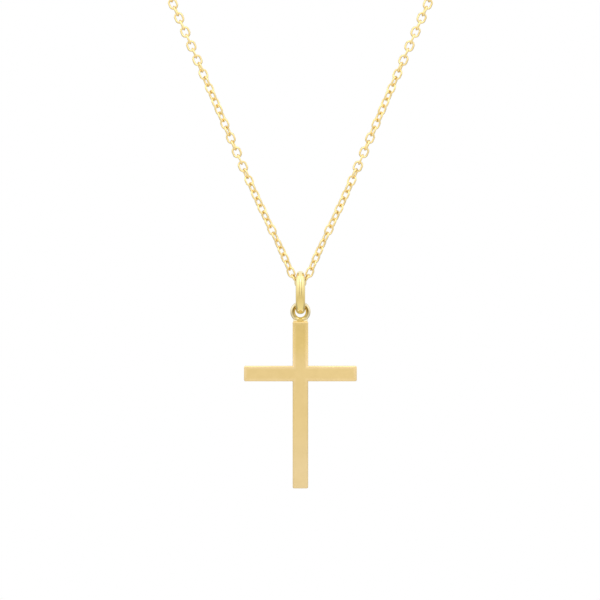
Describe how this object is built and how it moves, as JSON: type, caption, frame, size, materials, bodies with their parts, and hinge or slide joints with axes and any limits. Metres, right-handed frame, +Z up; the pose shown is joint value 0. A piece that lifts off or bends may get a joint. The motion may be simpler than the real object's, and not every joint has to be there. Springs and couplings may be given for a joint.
{
  "type": "cross pendant necklace",
  "caption": "Flat gold Latin cross with a soldered ring, hung by an oval bail on a fine trace chain with a bolt-ring clasp.",
  "frame": {"origin": "middle of the neck opening, where the chain sits round a neck", "axes": "+Z up, the front faces -Y, +X to the right when seen from the front"},
  "size_m": [0.1082, 0.1096, 0.1523],
  "materials": {
    "satin_gold": "fine satin face with bright bevels",
    "polished_gold": "high polish",
    "chain_gold": "polished"
  },
  "bodies": {
    "necklace": {"chain": "chain_gold", "clasp": "chain_gold", "end_ring": "chain_gold"},
    "bail": {"bail": "polished_gold"},
    "cross": {"cross": "satin_gold"}
  },
  "joints": [
    {"name": "bail_swing", "type": "hinge", "parent": "necklace", "child": "bail", "pos_m": [0, -0.054, -0.1], "axis": [1, 0, 0], "range_deg": [-90, 90]},
    {"name": "cross_swing", "type": "hinge", "parent": "bail", "child": "cross", "pos_m": [0, -0.054, -0.10421], "axis": [0, 1, 0], "range_deg": [-90, 90]}
  ]
}
